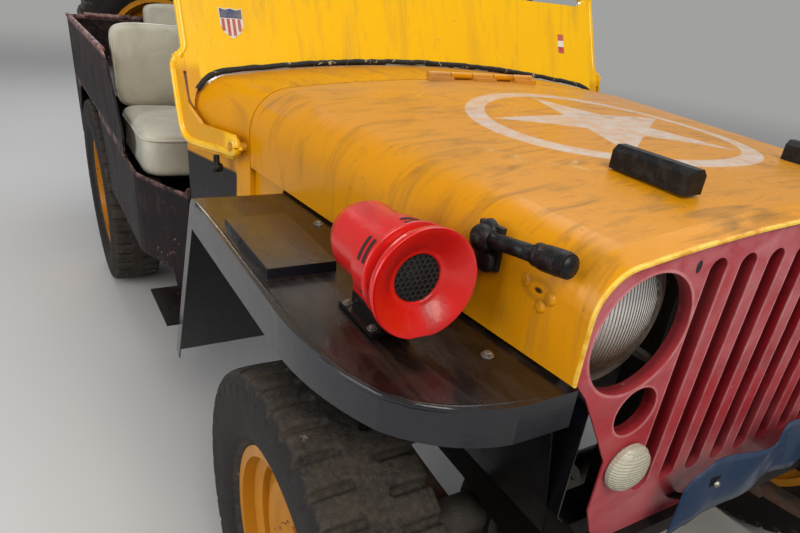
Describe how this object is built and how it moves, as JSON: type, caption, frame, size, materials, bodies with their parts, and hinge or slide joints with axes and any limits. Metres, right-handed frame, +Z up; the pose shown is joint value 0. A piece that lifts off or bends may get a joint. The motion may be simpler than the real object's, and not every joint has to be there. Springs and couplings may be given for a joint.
{
  "type": "light four-wheel-drive utility vehicle",
  "caption": "Open light utility vehicle with slotted grille, folding windshield, opening hood, steered front wheels and a fender siren.",
  "frame": {"origin": "on the ground, under the middle of the vehicle's box", "axes": "+Z up, the nose points to -Y, the vehicle's right side is -X"},
  "size_m": [1.458, 3.335, 1.5235],
  "materials": {
    "yellow_paint": "worn gloss",
    "bright_yellow_paint": "worn gloss",
    "red_paint": "worn gloss",
    "siren_red_paint": "gloss",
    "black_paint": "worn gloss",
    "body_paint": "worn satin",
    "amber_paint": "worn satin",
    "frame_paint": "satin",
    "cast": "rough",
    "steel": "satin",
    "tyre": "matte",
    "glass": "clear",
    "lamp_metal": "satin",
    "block_rubber": "matte",
    "vinyl": "satin",
    "black_plastic": "gloss"
  },
  "bodies": {
    "chassis": {"cowl": "yellow_paint", "grille": "red_paint", "headlamps": "lamp_metal", "headlamp_lenses": "glass", "marker_lamps": "glass", "fender_right": "black_paint", "fender_left": "black_paint", "siren": "siren_red_paint", "frame": "frame_paint", "leaf_springs": "frame_paint", "front_bumper": "frame_paint", "rear_bumpers": "frame_paint", "front_axle": "cast", "rear_axle": "cast", "engine": "cast", "transmission": "cast", "radiator": "frame_paint", "exhaust": "steel", "tub_floor": "body_paint", "tub_side_right": "body_paint", "tub_side_left": "body_paint", "tub_rear": "body_paint", "seat_frames": "frame_paint", "seat_cushion_right": "vinyl", "seat_cushion_left": "vinyl", "seat_back_right": "vinyl", "seat_back_left": "vinyl", "rear_seat_cushion": "vinyl", "rear_seat_back": "vinyl", "steering_column": "frame_paint", "spare_wheel": "amber_paint", "spare_tyre": "tyre"},
    "hood": {"hood": "yellow_paint", "hood_fittings": "block_rubber"},
    "windshield": {"windshield_frame": "bright_yellow_paint", "windshield_glass": "glass"},
    "knuckle_right": {"knuckle_right": "cast"},
    "knuckle_left": {"knuckle_left": "cast"},
    "tie_rod": {"tie_rod": "steel"},
    "steering_wheel": {"steering_wheel": "black_plastic"},
    "wheel_front_right": {"wheel_front_right": "amber_paint", "tyre_front_right": "tyre"},
    "wheel_front_left": {"wheel_front_left": "amber_paint", "tyre_front_left": "tyre"},
    "wheel_rear_right": {"wheel_rear_right": "amber_paint", "tyre_rear_right": "tyre"},
    "wheel_rear_left": {"wheel_rear_left": "amber_paint", "tyre_rear_left": "tyre"}
  },
  "joints": [
    {"name": "hood_hinge", "type": "hinge", "parent": "chassis", "child": "hood", "pos_m": [0, -0.5045, 1.025], "axis": [-1, 0, 0], "range_deg": [0, 115]},
    {"name": "windshield_fold", "type": "hinge", "parent": "chassis", "child": "windshield", "pos_m": [0, -0.4865, 0.868], "axis": [-1, 0, 0], "range_deg": [-112, 0]},
    {"name": "steer_right", "type": "hinge", "parent": "chassis", "child": "knuckle_right", "pos_m": [-0.56, -1.1225, 0.346], "axis": [0, 0, 1], "range_deg": [-27, 27]},
    {"name": "steer_left", "type": "hinge", "parent": "chassis", "child": "knuckle_left", "pos_m": [0.56, -1.1225, 0.346], "axis": [0, 0, 1], "range_deg": [-27, 27]},
    {"name": "tie_rod_pivot", "type": "hinge", "parent": "knuckle_right", "child": "tie_rod", "pos_m": [-0.56, -0.9575, 0.406], "axis": [0, 0, 1], "range_deg": [-27, 27]},
    {"name": "steering_wheel_turn", "type": "hinge", "parent": "chassis", "child": "steering_wheel", "pos_m": [0.33, 0.0275, 1.12], "axis": [0, 0.8661, 0.4998], "range_deg": [-405, 405]},
    {"name": "wheel_front_right_spin", "type": "hinge", "parent": "knuckle_right", "child": "wheel_front_right", "pos_m": [-0.645, -1.1225, 0.346], "axis": [1, 0, 0], "continuous": true},
    {"name": "wheel_front_left_spin", "type": "hinge", "parent": "knuckle_left", "child": "wheel_front_left", "pos_m": [0.645, -1.1225, 0.346], "axis": [1, 0, 0], "continuous": true},
    {"name": "wheel_rear_right_spin", "type": "hinge", "parent": "chassis", "child": "wheel_rear_right", "pos_m": [-0.645, 0.9095, 0.346], "axis": [1, 0, 0], "continuous": true},
    {"name": "wheel_rear_left_spin", "type": "hinge", "parent": "chassis", "child": "wheel_rear_left", "pos_m": [0.645, 0.9095, 0.346], "axis": [1, 0, 0], "continuous": true}
  ],
  "couplings": [
    {"joint": "steer_left", "follows": "steer_right", "ratio": 1},
    {"joint": "tie_rod_pivot", "follows": "steer_right", "ratio": -1},
    {"joint": "steering_wheel_turn", "follows": "steer_right", "ratio": 15}
  ]
}
